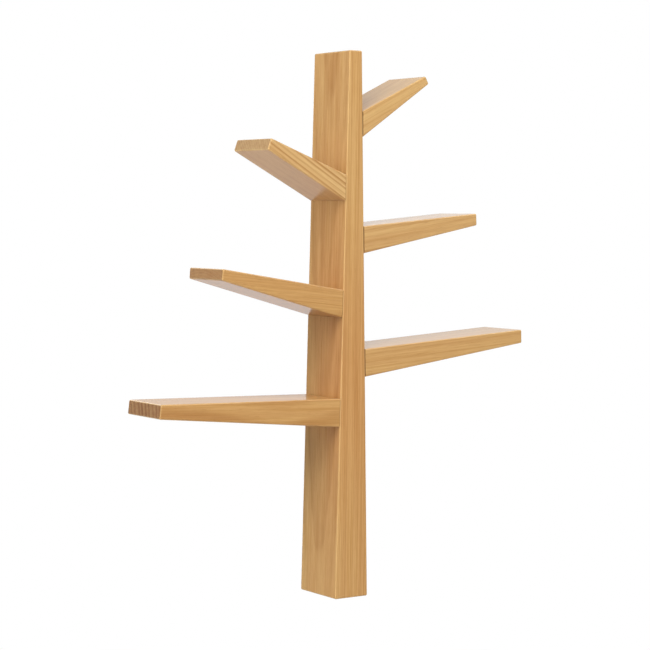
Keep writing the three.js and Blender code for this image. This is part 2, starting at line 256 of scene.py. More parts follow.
world = bpy.data.worlds.new("studio")
world.use_nodes = True
bpy.context.scene.world = world
sky_nodes = Nodes(world.node_tree)
sky_strength = SKY_FILL + (1 - SKY_FILL) * seen_directly(sky_nodes)
sky_nodes.feed_all(world.node_tree.nodes["Background"], {"Color": WHITE, "Strength": sky_strength})
print("the world lights the wood at", SKY_FILL)

# %% Floor
FLOOR_DROP = 0.7
FLOOR_HALF = 14
FLOOR_PALE = (0.78, 0.78, 0.78, 1)
FLOOR_ROUGHNESS = 0.9
FLOOR_OWN_WHITE = 0.85
SHADOW_GROUND = (1.6, 2.6)

floor_finish, floor_nodes, floor_shader = new_finish("floor_white")
floor_nodes.feed_all(floor_shader, {"Base Color": FLOOR_PALE, "Roughness": FLOOR_ROUGHNESS})
own_white = floor_nodes.node("ShaderNodeEmission", inputs={"Color": WHITE, "Strength": 1})
floor_place = floor_nodes.node("ShaderNodeTexCoord", output="Object")
flat_place = floor_nodes.vector("MULTIPLY", floor_place, (1, 1, 0))
far_away = floor_nodes.smooth_step(floor_nodes.vector("LENGTH", flat_place, output="Value"), *SHADOW_GROUND)
own_share = FLOOR_OWN_WHITE + (1 - FLOOR_OWN_WHITE) * far_away
lit_floor = Value(floor_nodes, floor_shader.outputs[0])
mix_inputs = {0: own_share * seen_directly(floor_nodes), 1: lit_floor, 2: own_white}
floor_mix = floor_nodes.node("ShaderNodeMixShader", inputs=mix_inputs)
floor_nodes.feed_all(floor_finish.node_tree.nodes["Material Output"], {"Surface": floor_mix})

floor_height = solid_box[0][2] - FLOOR_DROP
floor_mesh = bpy.data.meshes.new("floor")
corner_signs = [(-1, -1), (1, -1), (1, 1), (-1, 1)]
floor_corners = [(x * FLOOR_HALF, y * FLOOR_HALF, floor_height) for x, y in corner_signs]
floor_mesh.from_pydata(floor_corners, [], [range(len(floor_corners))])
floor_mesh.materials.append(floor_finish)
floor = linked("floor", floor_mesh)
print("floor at", round(floor_height, 3))

# %% [markdown]
# ## Lamps
#
# The photograph's light is soft, and comes mostly from the front, the left and above: under each left
# branch a shadow lies on the trunk, deep at the wall and gone at the front. So large soft lamps stand to
# the left, in front, and high on both sides. A low strip draws a highlight along the arrises, and a tall
# lamp on the wall's side shows in the lacquer on top of the branches and lights the back.

# %% Lamps
LAMP_DISTANCE = 5
SOFTBOXES = {  # direction, width, height, level
    "left_softbox": ((-0.86, -0.26, 0.42), 4, 2.4, 0.55),
    "high_left_softbox": ((-0.44, -0.45, 0.77), 3.6, 2.4, 0.56),
    "high_right_softbox": ((0.54, -0.45, 0.71), 2.4, 2.4, 0.43),
    "front_softbox": ((0, -1, 0.09), 2.4, 2.4, 0.24),
    "edge_strip": ((-0.83, -0.56, -0.06), 2.6, 0.4, 0.05),
    "wall_side_softbox": ((0.05, 0.95, 0.1), 2.4, 4.6, 0.36),
}


def add_softbox(name, direction, width, height, level):
    """A soft lamp that points at the middle of the bookcase and lights a white card there to the level."""
    lamp_data = bpy.data.lights.new(name, "AREA")
    lamp_data.shape = "RECTANGLE"
    lamp_data.size = width
    lamp_data.size_y = height
    lamp_data.energy = level * (math.pi * LAMP_DISTANCE) ** 2
    lamp = linked(name, lamp_data)
    place = Vector(direction).normalized() * LAMP_DISTANCE
    lamp.matrix_world = Matrix.Translation(place) @ place.to_track_quat("Z", "Y").to_matrix().to_4x4()


for name, lamp_facts in SOFTBOXES.items():
    add_softbox(name, *lamp_facts)
print("lamps:", ", ".join(SOFTBOXES))

# %% [markdown]
# ## Boards
#
# Every board is a prism: an outline of four straight sides seen from the front, as deep as the shelf. The
# packed boards have coarse roundings, so each is drawn again from its own flat faces: neighbouring faces
# meet in the outline's sharp corners, and a Bevel modifier rounds the arrises as a hand router would. The
# shape and place are then exactly the solid's, and the roundings are smooth enough for the long highlights
# along them. On the real bookcase a branch is rounded before its root is sawn off, so the four edges at the
# trunk aren't rounded.

# %% Sides of a board
SAME_FACE_ANGLE = math.radians(0.5)


class Side:
    """A flat face along a board's outline: its normal's angle, seen from the front, and its distance."""

    def __init__(self, angle):
        self.angle = angle
        self.area = 0
        self.moment = 0

    def add(self, triangle):
        self.area += triangle.area
        self.moment += triangle.area * triangle.center.dot(self.normal())

    def normal(self):
        return Vector((math.cos(self.angle), 0, math.sin(self.angle)))

    def distance(self):
        return self.moment / self.area

    def corner_with(self, other):
        """The point where this side's line meets another's, as (x, z)."""
        spread = math.sin(other.angle - self.angle)
        x = (self.distance() * math.sin(other.angle) - other.distance() * math.sin(self.angle)) / spread
        z = (other.distance() * math.cos(self.angle) - self.distance() * math.cos(other.angle)) / spread
        return x, z


print("faces less than", round(math.degrees(SAME_FACE_ANGLE), 1), "degrees apart are one side")

# %% Corners and depths of a board
SIDES = 4
FLAT_TO_FRONT = 0.01


class Board:
    """A board, measured on its solid: four sides, anticlockwise, and the corners after each of them."""

    def __init__(self, name):
        self.name = name
        self.low, self.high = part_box(name)
        self.middle = (self.low + self.high) / 2
        self.sides = self.largest_sides()
        following = self.sides[1:] + self.sides[:1]
        self.corners = [side.corner_with(other) for side, other in zip(self.sides, following)]
        self.outward = math.copysign(1, self.middle.x) if name in branch_names else 0
        root = min(range(SIDES), key=lambda i: self.outward * self.sides[i].normal().x)
        self.root_corners = {root, (root - 1) % SIDES} if self.outward else set()

    def largest_sides(self):
        sides = []
        for triangle in frame["nodes"][self.name].data.polygons:
            if abs(triangle.normal.y) > FLAT_TO_FRONT:
                continue
            angle = math.atan2(triangle.normal.z, triangle.normal.x)
            found = [side for side in sides if abs(side.angle - angle) < SAME_FACE_ANGLE]
            if not found:
                found = [Side(angle)]
                sides += found
            found[0].add(triangle)
        largest = sorted(sides, key=lambda side: side.area)[-SIDES:]
        return sorted(largest, key=lambda side: side.angle)

    def depth_of(self, point):
        """How far a point lies below the nearest flat face."""
        depths = [side.distance() - side.normal().dot(point) for side in self.sides]
        return min(depths + [self.high.y - point.y, point.y - self.low.y])


boards = {name: Board(name) for name in ["trunk"] + branch_names}
for name, board in boards.items():
    print(name, [(round(x, 4), round(z, 4)) for x, z in board.corners])

# %% Boards with rounded arrises
CORNER_RADIUS = 3.6 * MM
EDGE_RADIUS = 3 * MM
ROUNDING_STEPS = 6
SHARP_ANGLE = math.radians(35)
LARGE_FACES_FIRST = 100


def with_outward_faces(mesh):
    shape = bmesh.new()
    shape.from_mesh(mesh)
    bmesh.ops.recalc_face_normals(shape, faces=shape.faces)
    shape.to_mesh(mesh)
    return mesh


def prism(name, near, far):
    """A closed mesh between two rings of points."""
    count = len(near)
    sides = [(i, (i + 1) % count, (i + 1) % count + count, i + count) for i in range(count)]
    mesh = bpy.data.meshes.new(name)
    mesh.from_pydata(near + far, [], [tuple(range(count)), tuple(range(count, 2 * count)), *sides])
    return with_outward_faces(mesh)


def rounded_piece(board):
    """The board with its arrises rounded by a modifier, all but those at a branch's root."""
    near, far = ([Vector((x, y, z)) for x, z in board.corners] for y in (board.low.y, board.high.y))
    mesh = prism(board.name + "_sharp", near, far)
    weights = mesh.attributes.new("bevel_weight_edge", "FLOAT", "EDGE")
    for edge in mesh.edges:
        start, end = edge.vertices
        corners = {start % SIDES, end % SIDES}
        radius = CORNER_RADIUS if len(corners) == 1 else EDGE_RADIUS
        weights.data[edge.index].value = 0 if corners <= board.root_corners else radius / CORNER_RADIUS
    piece = linked(board.name + "_sharp", mesh)
    rounding = piece.modifiers.new("rounding", "BEVEL")
    rounding.limit_method = "WEIGHT"
    rounding.width = CORNER_RADIUS
    rounding.segments = ROUNDING_STEPS
    return piece


def plain_mesh(piece, name):
    """Turns a piece with modifiers into a plain mesh piece of that name, and removes the old one."""
    bpy.context.view_layer.update()
    mesh = bpy.data.meshes.new_from_object(piece.evaluated_get(bpy.context.evaluated_depsgraph_get()))
    mesh.name = name
    bpy.data.objects.remove(piece)
    return linked(name, mesh)


def shade(piece):
    """Smooth roundings beside flat faces that stay flat."""
    piece.data.shade_smooth()
    piece.data.set_sharp_from_angle(angle=SHARP_ANGLE)
    even = piece.modifiers.new("flat_faces", "WEIGHTED_NORMAL")
    even.keep_sharp = True
    even.weight = LARGE_FACES_FIRST


rounded = {name: rounded_piece(board) for name, board in boards.items()}
print("arrises:", CORNER_RADIUS / MM, "mm at the corners,", EDGE_RADIUS / MM, "mm at the front and back")

# %% [markdown]
# ## Bores
#
# The boards come off the drilling machine with their holes ready: pockets for the cam locks and recesses
# for the keyhole plates in the trunk's back, and bores for bolts and dowels in every joint. Each hole takes
# its place from the fitting that it holds, through the line of that fitting's axis, and a Boolean modifier
# cuts them all.

# %% Axes of the fittings
class Spindle:
    """A round fitting: the line of its axis, how far it runs along it and its largest radius."""

    def __init__(self, name, axis):
        low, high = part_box(name)
        points = [vertex.co for vertex in frame["nodes"][name].data.vertices]
        reaches = [axis.dot(point) for point in points]
        # A lock's hollow makes it lopsided, but its axis runs through the middle of its box.
        centre = (low + high) / 2 if "lock" in name else sum(points, Vector()) / len(points)
        self.axis = axis
        self.foot = centre - axis * axis.dot(centre)
        self.start, self.end = min(reaches), max(reaches)
        self.radius = max((point - self.at(axis.dot(point))).length for point in points)

    def at(self, reach):
        return self.foot + self.axis * reach


def spindles(start, axis):
    return [Spindle(name, axis) for name in sorted_names(start)]


class Joint:
    """Where a branch meets the trunk: the way out of the trunk's side, the joint's plane and the fittings."""

    def __init__(self, branch):
        place = branch.removeprefix("branch_")
        side = max(boards["trunk"].sides, key=lambda side: side.normal().x * boards[branch].outward)
        self.out = side.normal()
        self.plane = side.distance()
        self.bolts = spindles("cam_bolt_" + place, self.out)
        self.dowels = spindles("dowel_" + place, self.out)
        self.locks = spindles("cam_lock_" + place, TO_WALL)


joints = {branch: Joint(branch) for branch in branch_names}
screws = spindles("hanger_screw", TO_WALL)
hangers = ["hanger_upper", "hanger_lower"]
for branch, joint in joints.items():
    bolt = joint.bolts[0]
    ends = [round((end - joint.plane) / MM, 2) for end in (bolt.start, bolt.end)]
    print(branch, "has bolts of radius", round(bolt.radius / MM, 2), "mm between", ends, "mm off the joint")

# %% Shapes of the holes
BORE_FACETS = 48
FIT = 0.3 * MM
OVERRUN = 5 * MM
HOLE_ROOM = 1 * MM
THREAD_RADIUS = 3 * MM
ROOT_CHAMFER = 1 * MM
SCREW_SHANK_RADIUS = 1.5 * MM
KEYHOLE_POCKET_RADIUS = 5.8 * MM
KEYHOLE_POCKET_REACH = 7 * MM
KEYHOLE_POCKET_DEPTH = 10 * MM


def ring(centre, axis, radius):
    turn = axis.to_track_quat("Z", "Y")
    angles = [2 * math.pi * i / BORE_FACETS for i in range(BORE_FACETS)]
    points = [Vector((radius * math.cos(angle), radius * math.sin(angle), 0)) for angle in angles]
    return [centre + turn @ point for point in points]


def bore(spindle, start, end, radius):
    return ring(spindle.at(start), spindle.axis, radius), ring(spindle.at(end), spindle.axis, radius)


def upright_slot(middle, reach, radius, depth):
    """A slot with round ends in the trunk's back, reach above and below its middle."""
    rings = []
    for y in (OVERRUN, -depth):
        points = ring(Vector((middle.x, y, middle.z)), TO_WALL, radius)
        rings.append([point + Vector((0, 0, math.copysign(reach, point.z - middle.z))) for point in points])
    return rings


print("a bore has", BORE_FACETS, "facets and leaves", FIT / MM, "mm round its fitting")

# %% Holes of the trunk and the branches
def trunk_holes():
    holes = []
    for joint in joints.values():
        outside = joint.plane + OVERRUN
        for pin in joint.bolts + joint.dowels:
            holes.append(bore(pin, pin.start - HOLE_ROOM, outside, pin.radius + FIT))
        holes += [bore(lock, lock.start - FIT, OVERRUN, lock.radius + FIT) for lock in joint.locks]
    for name in hangers:
        low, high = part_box(name)
        middle, half_width = (low + high) / 2, (high.x - low.x) / 2
        holes.append(upright_slot(middle, (high.z - low.z) / 2 - half_width, half_width + FIT, FIT - low.y))
        holes.append(upright_slot(middle, KEYHOLE_POCKET_REACH, KEYHOLE_POCKET_RADIUS, KEYHOLE_POCKET_DEPTH))
    return holes + [bore(screw, screw.start - FIT, OVERRUN, SCREW_SHANK_RADIUS + FIT) for screw in screws]


def chamfer_bars(board):
    """Square bars that stand on an edge, which chamfer the upper and lower edges of a branch's root."""
    half = [Vector((x, 0, z)) * ROOT_CHAMFER for x, z in ((1, 0), (0, 1), (-1, 0), (0, -1))]
    bars = []
    for x, z in (board.corners[i] for i in board.root_corners):
        bars.append([[Vector((x, y, z)) + reach for reach in half] for y in (board.low.y - OVERRUN, OVERRUN)])
    return bars


def branch_holes(joint):
    inside = joint.plane - OVERRUN
    holes = [bore(bolt, inside, bolt.end + HOLE_ROOM, THREAD_RADIUS + FIT) for bolt in joint.bolts]
    return holes + [bore(dowel, inside, dowel.end + HOLE_ROOM, dowel.radius + FIT) for dowel in joint.dowels]


holes = {name: branch_holes(joint) + chamfer_bars(boards[name]) for name, joint in joints.items()}
holes["trunk"] = trunk_holes()
print("holes:", {name: len(cuts) for name, cuts in holes.items()})

# %% Drilling
def drilled(piece, cuts, name):
    """The piece with the holes cut out of it, as a plain mesh."""
    tools = bpy.data.collections.new(name + "_tools")
    collection.children.link(tools)
    for near, far in cuts:
        tools.objects.link(bpy.data.objects.new("drill", prism("drill", near, far)))
    cut = piece.modifiers.new("holes", "BOOLEAN")
    cut.operand_type = "COLLECTION"
    cut.collection = tools
    cut.solver = "EXACT"
    result = plain_mesh(piece, name)
    for tool in list(tools.objects):
        bpy.data.objects.remove(tool)
    bpy.data.collections.remove(tools)
    return result


pieces = {}
for name, piece in rounded.items():
    pieces[name] = drilled(piece, holes[name], name + "_board")
    shade(pieces[name])
    print(pieces[name].name, "has", len(pieces[name].data.polygons), "faces")

# %% [markdown]
# ## Pine
#
# Lacquered pine shows how it grew. Each year adds a pale soft ring that ends in a thin dark one, and a
# board cuts through these rings: a face along them shows flames, a face across them shows straight lines,
# and the sawn end shows arcs. So the finish isn't painted on. It is a block of wood in which every point
# knows how far it lies from the pith, the tree's middle line, and each board has its own pith, ring width
# and slope of grain.

# %% The grain of each board
class Grain:
    """How a board lies in the tree, its tone and its lacquer, in metres, degrees and shares."""

    wander = 0.004  # how far the fibres sway
    taper = 0.008  # how far the rings lean towards the pith in a metre
    dip = (0, 0.1, 0)  # where along the board the rings bend towards the pith, over what length and how far
    soft = 0.5  # how soft the edges of the late wood are
    uneven = 1.6  # how much the widths of the rings differ
    end_tone = 1  # how dark the sawn ends are
    end_lines = 0.5  # how strong the rings are there
    lacquer = 0.62  # how much the lacquer mirrors
    paleness = 0  # how little stain the board took up
    ruddiness = 0.2  # how strong its ruddy patches are
    # On the trunk the heartwood's stretch is partly painted shade near the lower left branch.
    heart_and_shade = None  # where along the board heartwood shows, over what length and how strongly

    PALE_GAIN = (0.07, 0.14, 0.25, 0)

    def __init__(self, seed, climb, pith, ring, contrast, **others):
        self.seed = seed
        self.turn = -math.radians(climb)
        self.pith = pith
        self.ring = ring
        self.contrast = contrast
        vars(self).update(others)

    def toned(self, colour):
        """The board's own tone of a colour: a paler board took up less of the stain."""
        return tuple(part * (1 + self.paleness * gain) for part, gain in zip(colour, self.PALE_GAIN))


GRAINS = {  # seed, climb, where the pith runs (depth, across), ring width, contrast, and what else differs
    # The trunk's heartwood lies low and reaches deep round the lower left branch, where it also serves as
    # painted shade in that branch's shadow.
    "trunk": Grain(
        3, 90, (0, -0.3), 0.0052, 0.5, wander=0.0022, soft=0.3, lacquer=0.25, paleness=1.2, ruddiness=0.5,
        heart_and_shade=(-0.1, 0.45, 0.6)),
    "branch_left_low": Grain(
        11, -2, (0.27, -0.08), 0.0145, 0.6, wander=0.002, taper=0, dip=(0.067, 0.14, 0.011), soft=0.4,
        uneven=0.8, end_lines=1.3, lacquer=0.54, paleness=0.1, ruddiness=0.3),
    "branch_left_middle": Grain(
        17, -5, (0.02, -0.15), 0.005, 0.35, wander=0.006, end_tone=0.68, lacquer=0.72, paleness=-0.2),
    "branch_left_high": Grain(
        23, -30.8, (0.35, -0.36), 0.0067, 0.9, wander=0.0012, soft=0.6, uneven=0.6, end_tone=0.68,
        end_lines=0.45, paleness=2.4, ruddiness=0.15),
    "branch_right_low": Grain(31, 4.5, (-0.1, -0.12), 0.008, 0.18, wander=0.009, lacquer=0.7, paleness=0.55),
    "branch_right_middle": Grain(41, 8.5, (-0.06, -0.25), 0.014, 0.45, soft=0.4, lacquer=0.8, paleness=1.1),
    "branch_right_high": Grain(47, 27, (0.03, 0.14), 0.005, 0.18, paleness=1.2, ruddiness=0),
}
print("rings of", sorted({round(grain.ring / MM, 1) for grain in GRAINS.values()}), "mm")

# %% [markdown]
# ### Points and streaks
#
# A Mapping node turns each board's Object coordinates, so that X runs along the fibres. Most marks in wood
# are then noise that is drawn out along X: wide and long for bands of colour, narrow and short for fibres
# and the resin's canals. They differ only in their waves and in where they set in, so one table names them
# all.

# %% Points and streaks in a block of wood
STREAKS = {  # waves in a metre along and across the fibres, detail, the values where it sets in, its share
    "bands": (1.5, 60, 2, 0.3, 0.7, 0.7),
    "fine_lines": (3, 260, 2, 0.45, 0.7, 0.7),
    "ruddy_patches": (0.8, 13, 1, 0.2, 0.7, 1),
    "resin_canals": (45, 1100, 1, 0.68, 0.78, 0.5),
}


class WoodBlock:
    """The nodes that find a point of a board and the streaks along its fibres."""

    def __init__(self, nodes, grain, middle):
        self.nodes = nodes
        self.grain = grain
        self.coordinate = nodes.node("ShaderNodeTexCoord", output="Object")
        turned = {"Vector": self.coordinate, "Location": middle, "Rotation": (0, grain.turn, 0)}
        self.board = nodes.node("ShaderNodeMapping", {"vector_type": "TEXTURE"}, turned)

    def noise(self, along, across, detail, output="Fac"):
        """Noise drawn out along the fibres, with so many waves in a metre along them and across them."""
        nodes = self.nodes
        stretched = nodes.vector("MULTIPLY", self.board, (along, across, across))
        shifted = nodes.vector("ADD", stretched, (self.grain.seed, 2 * self.grain.seed, -self.grain.seed))
        inputs = {"Vector": shifted, "Scale": 1, "Detail": detail}
        return nodes.node("ShaderNodeTexNoise", None, inputs, output)

    def sway(self, along, across, reach):
        """A sideways shift of the fibres by up to reach."""
        centred = self.nodes.vector("SUBTRACT", self.noise(along, across, 1, "Color"), (0.5, 0.5, 0.5))
        return self.nodes.vector("MULTIPLY", centred, (0, 2 * reach, 2 * reach))

    def streaks(self, name):
        """How strongly a kind of streak shows at the point."""
        along, across, detail, start, end, share = STREAKS[name]
        return share * self.nodes.smooth_step(self.noise(along, across, detail), start, end)

    def facing(self, direction, limits):
        """How far the surface faces a direction, from 0 to 1."""
        normal = self.coordinate.output("Normal")
        towards = self.nodes.vector("DOT_PRODUCT", normal, direction, output="Value")
        return self.nodes.smooth_step(towards, *limits)


print("streaks:", ", ".join(STREAKS))

# %% [markdown]
# ### Rings
#
# The distance from the pith, counted in rings, gives each point a number. Its whole part says which ring
# the point lies in, and so how strong that ring is. The rest says where in the ring it lies: the dark late
# wood sets in slowly and ends sooner, with softer edges on some boards than on others.

# %% Rings in a block of pine
LONG_SWAY = (2.5, 8)
SHORT_SWAY = (12, 40, 0.0007)
RING_WIDTH_CHANGES = 0.45
SHARP_RING = (0.3, 0.9, 0.93)
SOFT_RING = (0.05, 0.6, 0.58)
FAINTEST_RING = 0.35
# How deep the heartwood reaches from the front. On the trunk it reaches far back, so it also darkens and
# warms the branch's shadow as painted shade.
HEARTWOOD_AND_SHADE_DEPTH = (-0.07, 0.05)
FACING_END = (0.6, 0.9)


class PineBlock(WoodBlock):
    """A block of wood with growth rings round a pith."""

    def rings(self):
        """How many rings lie between the pith and the point."""
        nodes, grain = self.nodes, self.grain
        swayed = nodes.vector("ADD", self.board, self.sway(*LONG_SWAY, grain.wander))
        swayed = nodes.vector("ADD", swayed, self.sway(*SHORT_SWAY))
        along = nodes.node("ShaderNodeSeparateXYZ", inputs={0: swayed})
        depth, across = along.output("Y"), along.output("Z")
        dip_place, dip_reach, dip_depth = grain.dip
        dip = dip_depth / (1 + ((along - dip_place) / dip_reach) ** 2)
        pith_depth, pith_across = grain.pith
        radius = ((depth - pith_depth) ** 2 + (across - pith_across) ** 2) ** 0.5 + dip
        even = (radius + along * grain.taper) / grain.ring
        scale = {"W": even, "Scale": RING_WIDTH_CHANGES}
        uneven = nodes.node("ShaderNodeTexNoise", {"noise_dimensions": "1D"}, scale, "Fac")
        return even + grain.uneven * uneven

    def late_wood(self):
        """1 on the dark line that ends each ring, with some rings stronger than others."""
        nodes, soft = self.nodes, self.grain.soft
        rings = self.rings()
        share = nodes.math("FRACT", rings)
        edges = zip(SHARP_RING, SOFT_RING)
        begin, full, fade = (sharp + (blurred - sharp) * soft for sharp, blurred in edges)
        line = nodes.smooth_step(share, begin, full) * (1 - nodes.smooth_step(share, fade, 1))
        number = nodes.math("FLOOR", rings) + self.grain.seed
        strength = nodes.node("ShaderNodeTexWhiteNoise", {"noise_dimensions": "1D"}, {"W": number}, "Value")
        return line * (FAINTEST_RING + (1 - FAINTEST_RING) * strength)

    def heartwood_and_painted_shade(self):
        """How far the point lies in the ruddy heartwood, at a board's front and for a stretch of it. On the
        trunk it also lies where the lower left branch casts its shadow, and there it is painted shade.
        """
        nodes = self.nodes
        middle, reach, share = self.grain.heart_and_shade
        place = nodes.node("ShaderNodeSeparateXYZ", inputs={0: self.board})
        away = nodes.math("ABSOLUTE", place.output("X") - middle)
        inwards = nodes.smooth_step(place.output("Y"), *HEARTWOOD_AND_SHADE_DEPTH)
        return share * (1 - nodes.smooth_step(away, 0, reach)) * (1 - inwards)

    def end_grain(self):
        """1 where the board is cut across its fibres."""
        fibres = Vector((math.cos(self.grain.turn), 0, -math.sin(self.grain.turn)))
        return self.facing(fibres, FACING_END) + self.facing(-fibres, FACING_END)


print("the faintest ring is", FAINTEST_RING, "as dark as the strongest")

# %% [markdown]
# ### Colour, lacquer and relief
#
# The colour is built in layers, as a finisher works: first the honey stain, and then everything that
# darkens it, multiplied one after another. The arrises are paler, partly from sanding wear and partly as a
# painted highlight along them, and bores show raw wood. The undersides get painted shade, a ruddy, darker
# tint, and their rings and lines are fainter. The lacquer is a clear coat over it all, and the fibres still
# show in it as a faint relief.

# %% The pine of one board
PALE_HONEY = (0.595, 0.352, 0.128, 1)
DEEP_HONEY = (0.518, 0.278, 0.095, 1)
# The ruddy tint of heartwood and random patches. It also gives painted shade on the undersides and on the
# trunk near the lower left branch.
HEARTWOOD_AND_PAINTED_SHADE = (0.92, 0.79, 0.73, 1)
LATE_WOOD = (0.66, 0.5, 0.36, 1)
FINE_LINE = (0.88, 0.8, 0.68, 1)
FIBRE_SHADE = (0.86, 0.8, 0.72, 1)
RESIN = (0.55, 0.4, 0.28, 1)
END_GRAIN = (0.6, 0.57, 0.61, 1)
# The paler colour of the arrises is partly sanding wear and partly a painted highlight.
PALE_ARRIS_AND_HIGHLIGHT = (0.8, 0.56, 0.24, 1)
RAW_PINE = (0.78, 0.58, 0.36, 1)
FACING_DOWN = (0.3, 0.9)
FIBRES = (22, 900, 3)
FIBRE_EDGE = (0.4, 0.68)
RIPPLES = (60, 120, 1)
SHARE = {"fibres": 0.65, "arris_wear_and_highlight": 0.45, "raw": 0.8}
# On faces that look down: painted shade as a ruddy, darker tint, fainter rings and lines, and thinner
# lacquer.
BELOW = {"ruddy_painted_shade": 0.8, "fewer rings": 0.85, "fewer lines": 0.714, "less lacquer": 0.15}
ROUGHNESS = {"wood": 0.34, "fibres": 0.12, "end": 0.15, "bored": 0.3}
RELIEF = {"fibres": 0.5, "rings": 0.35, "ripples": 0.3, "strength": 0.3, "distance": 0.0002}
ARRIS_LACQUER = 0.95
LACQUER = {"Specular IOR Level": 0.06, "Coat IOR": 1.35, "Coat Roughness": 0.16}


def pine(name, grain, middle):
    """The lacquered, honey-stained pine of one board."""
    finish, nodes, surface = new_finish(name)
    block = PineBlock(nodes, grain, middle)
    late, end, fibre = block.late_wood(), block.end_grain(), block.noise(*FIBRES)
    arris, bored = nodes.attribute("arris"), nodes.attribute("bored")
    below = block.facing((0, 0, -1), FACING_DOWN)

    # Ruddy tint: random patches, heartwood, and painted shade on the undersides.
    heart_and_shade = block.streaks("ruddy_patches") * grain.ruddiness + BELOW["ruddy_painted_shade"] * below
    if grain.heart_and_shade:
        heart_and_shade = heart_and_shade + block.heartwood_and_painted_shade()
    contrast = grain.contrast + (grain.end_lines - grain.contrast) * end
    colour = nodes.colour_mix(grain.toned(PALE_HONEY), grain.toned(DEEP_HONEY), block.streaks("bands"))
    for tint, share in (
        (HEARTWOOD_AND_PAINTED_SHADE, heart_and_shade),
        (LATE_WOOD, late * contrast * (1 - BELOW["fewer rings"] * below)),
        (FINE_LINE, block.streaks("fine_lines") * (1 - BELOW["fewer lines"] * below)),
        (FIBRE_SHADE, nodes.smooth_step(fibre, *FIBRE_EDGE) * SHARE["fibres"]),
        (RESIN, block.streaks("resin_canals")),
        (END_GRAIN, end * grain.end_tone),
    ):
        colour = nodes.colour_mix(colour, tint, share, "MULTIPLY")
    # Paler arrises: partly sanding wear, partly a painted highlight along them.
    colour = nodes.colour_mix(colour, PALE_ARRIS_AND_HIGHLIGHT, arris * SHARE["arris_wear_and_highlight"])
    colour = nodes.colour_mix(colour, RAW_PINE, bored * SHARE["raw"])

    roughness = ROUGHNESS["wood"] + ROUGHNESS["fibres"] * fibre + ROUGHNESS["end"] * end
    lacquer = grain.lacquer - BELOW["less lacquer"] * below + (ARRIS_LACQUER - grain.lacquer) * arris
    height = RELIEF["fibres"] * fibre - RELIEF["rings"] * late + RELIEF["ripples"] * block.noise(*RIPPLES)
    nodes.feed_all(surface, {
        **LACQUER,
        "Base Color": colour,
        "Roughness": roughness + ROUGHNESS["bored"] * bored,
        "Coat Weight": nodes.math("MAXIMUM", lacquer - bored, 0),
        "Normal": nodes.bump(height, RELIEF["strength"], RELIEF["distance"]),
    })
    return finish


print("on undersides the rings lose", BELOW["fewer rings"], "of their contrast")

# %% Pine on the boards
CREST = EDGE_RADIUS * (1 - math.cos(math.pi / 4))
DEEPER_THAN_A_ROUNDING = CORNER_RADIUS / 2


def mark_wood(piece, board):
    """Marks the crests of the roundings, and the raw wood inside the holes."""
    arris = piece.data.attributes.new("arris", "FLOAT", "POINT")
    for vertex in piece.data.vertices:
        depth = board.depth_of(vertex.co)
        arris.data[vertex.index].value = min(1, depth / CREST) if depth < DEEPER_THAN_A_ROUNDING else 0
    bored = piece.data.attributes.new("bored", "FLOAT", "FACE")
    for face in piece.data.polygons:
        bored.data[face.index].value = 1 if board.depth_of(face.center) > CREST + FIT else 0


for name, piece in pieces.items():
    mark_wood(piece, boards[name])
    piece.data.materials.clear()
    piece.data.materials.append(pine(name + "_pine", GRAINS[name], boards[name].middle))
    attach(piece, BODY)
    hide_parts(name)
    print(name, "has", len(piece.data.materials[0].node_tree.nodes), "nodes in its pine")

# %% [markdown]
# ## Fittings grown by recipes
#
# Twelve cam locks, twelve bolts and twelve dowels are the same three things set in many places, so each is
# a recipe: a Geometry Nodes tree that makes one fitting from its named sizes, in millimetres, and sets a
# copy of it on every point of a small mesh of places. Each place says how its copy is turned. The recipes
# draw most shapes as a lathe does: a profile is swept up the Z axis through stations, each a height and a
# radius there.

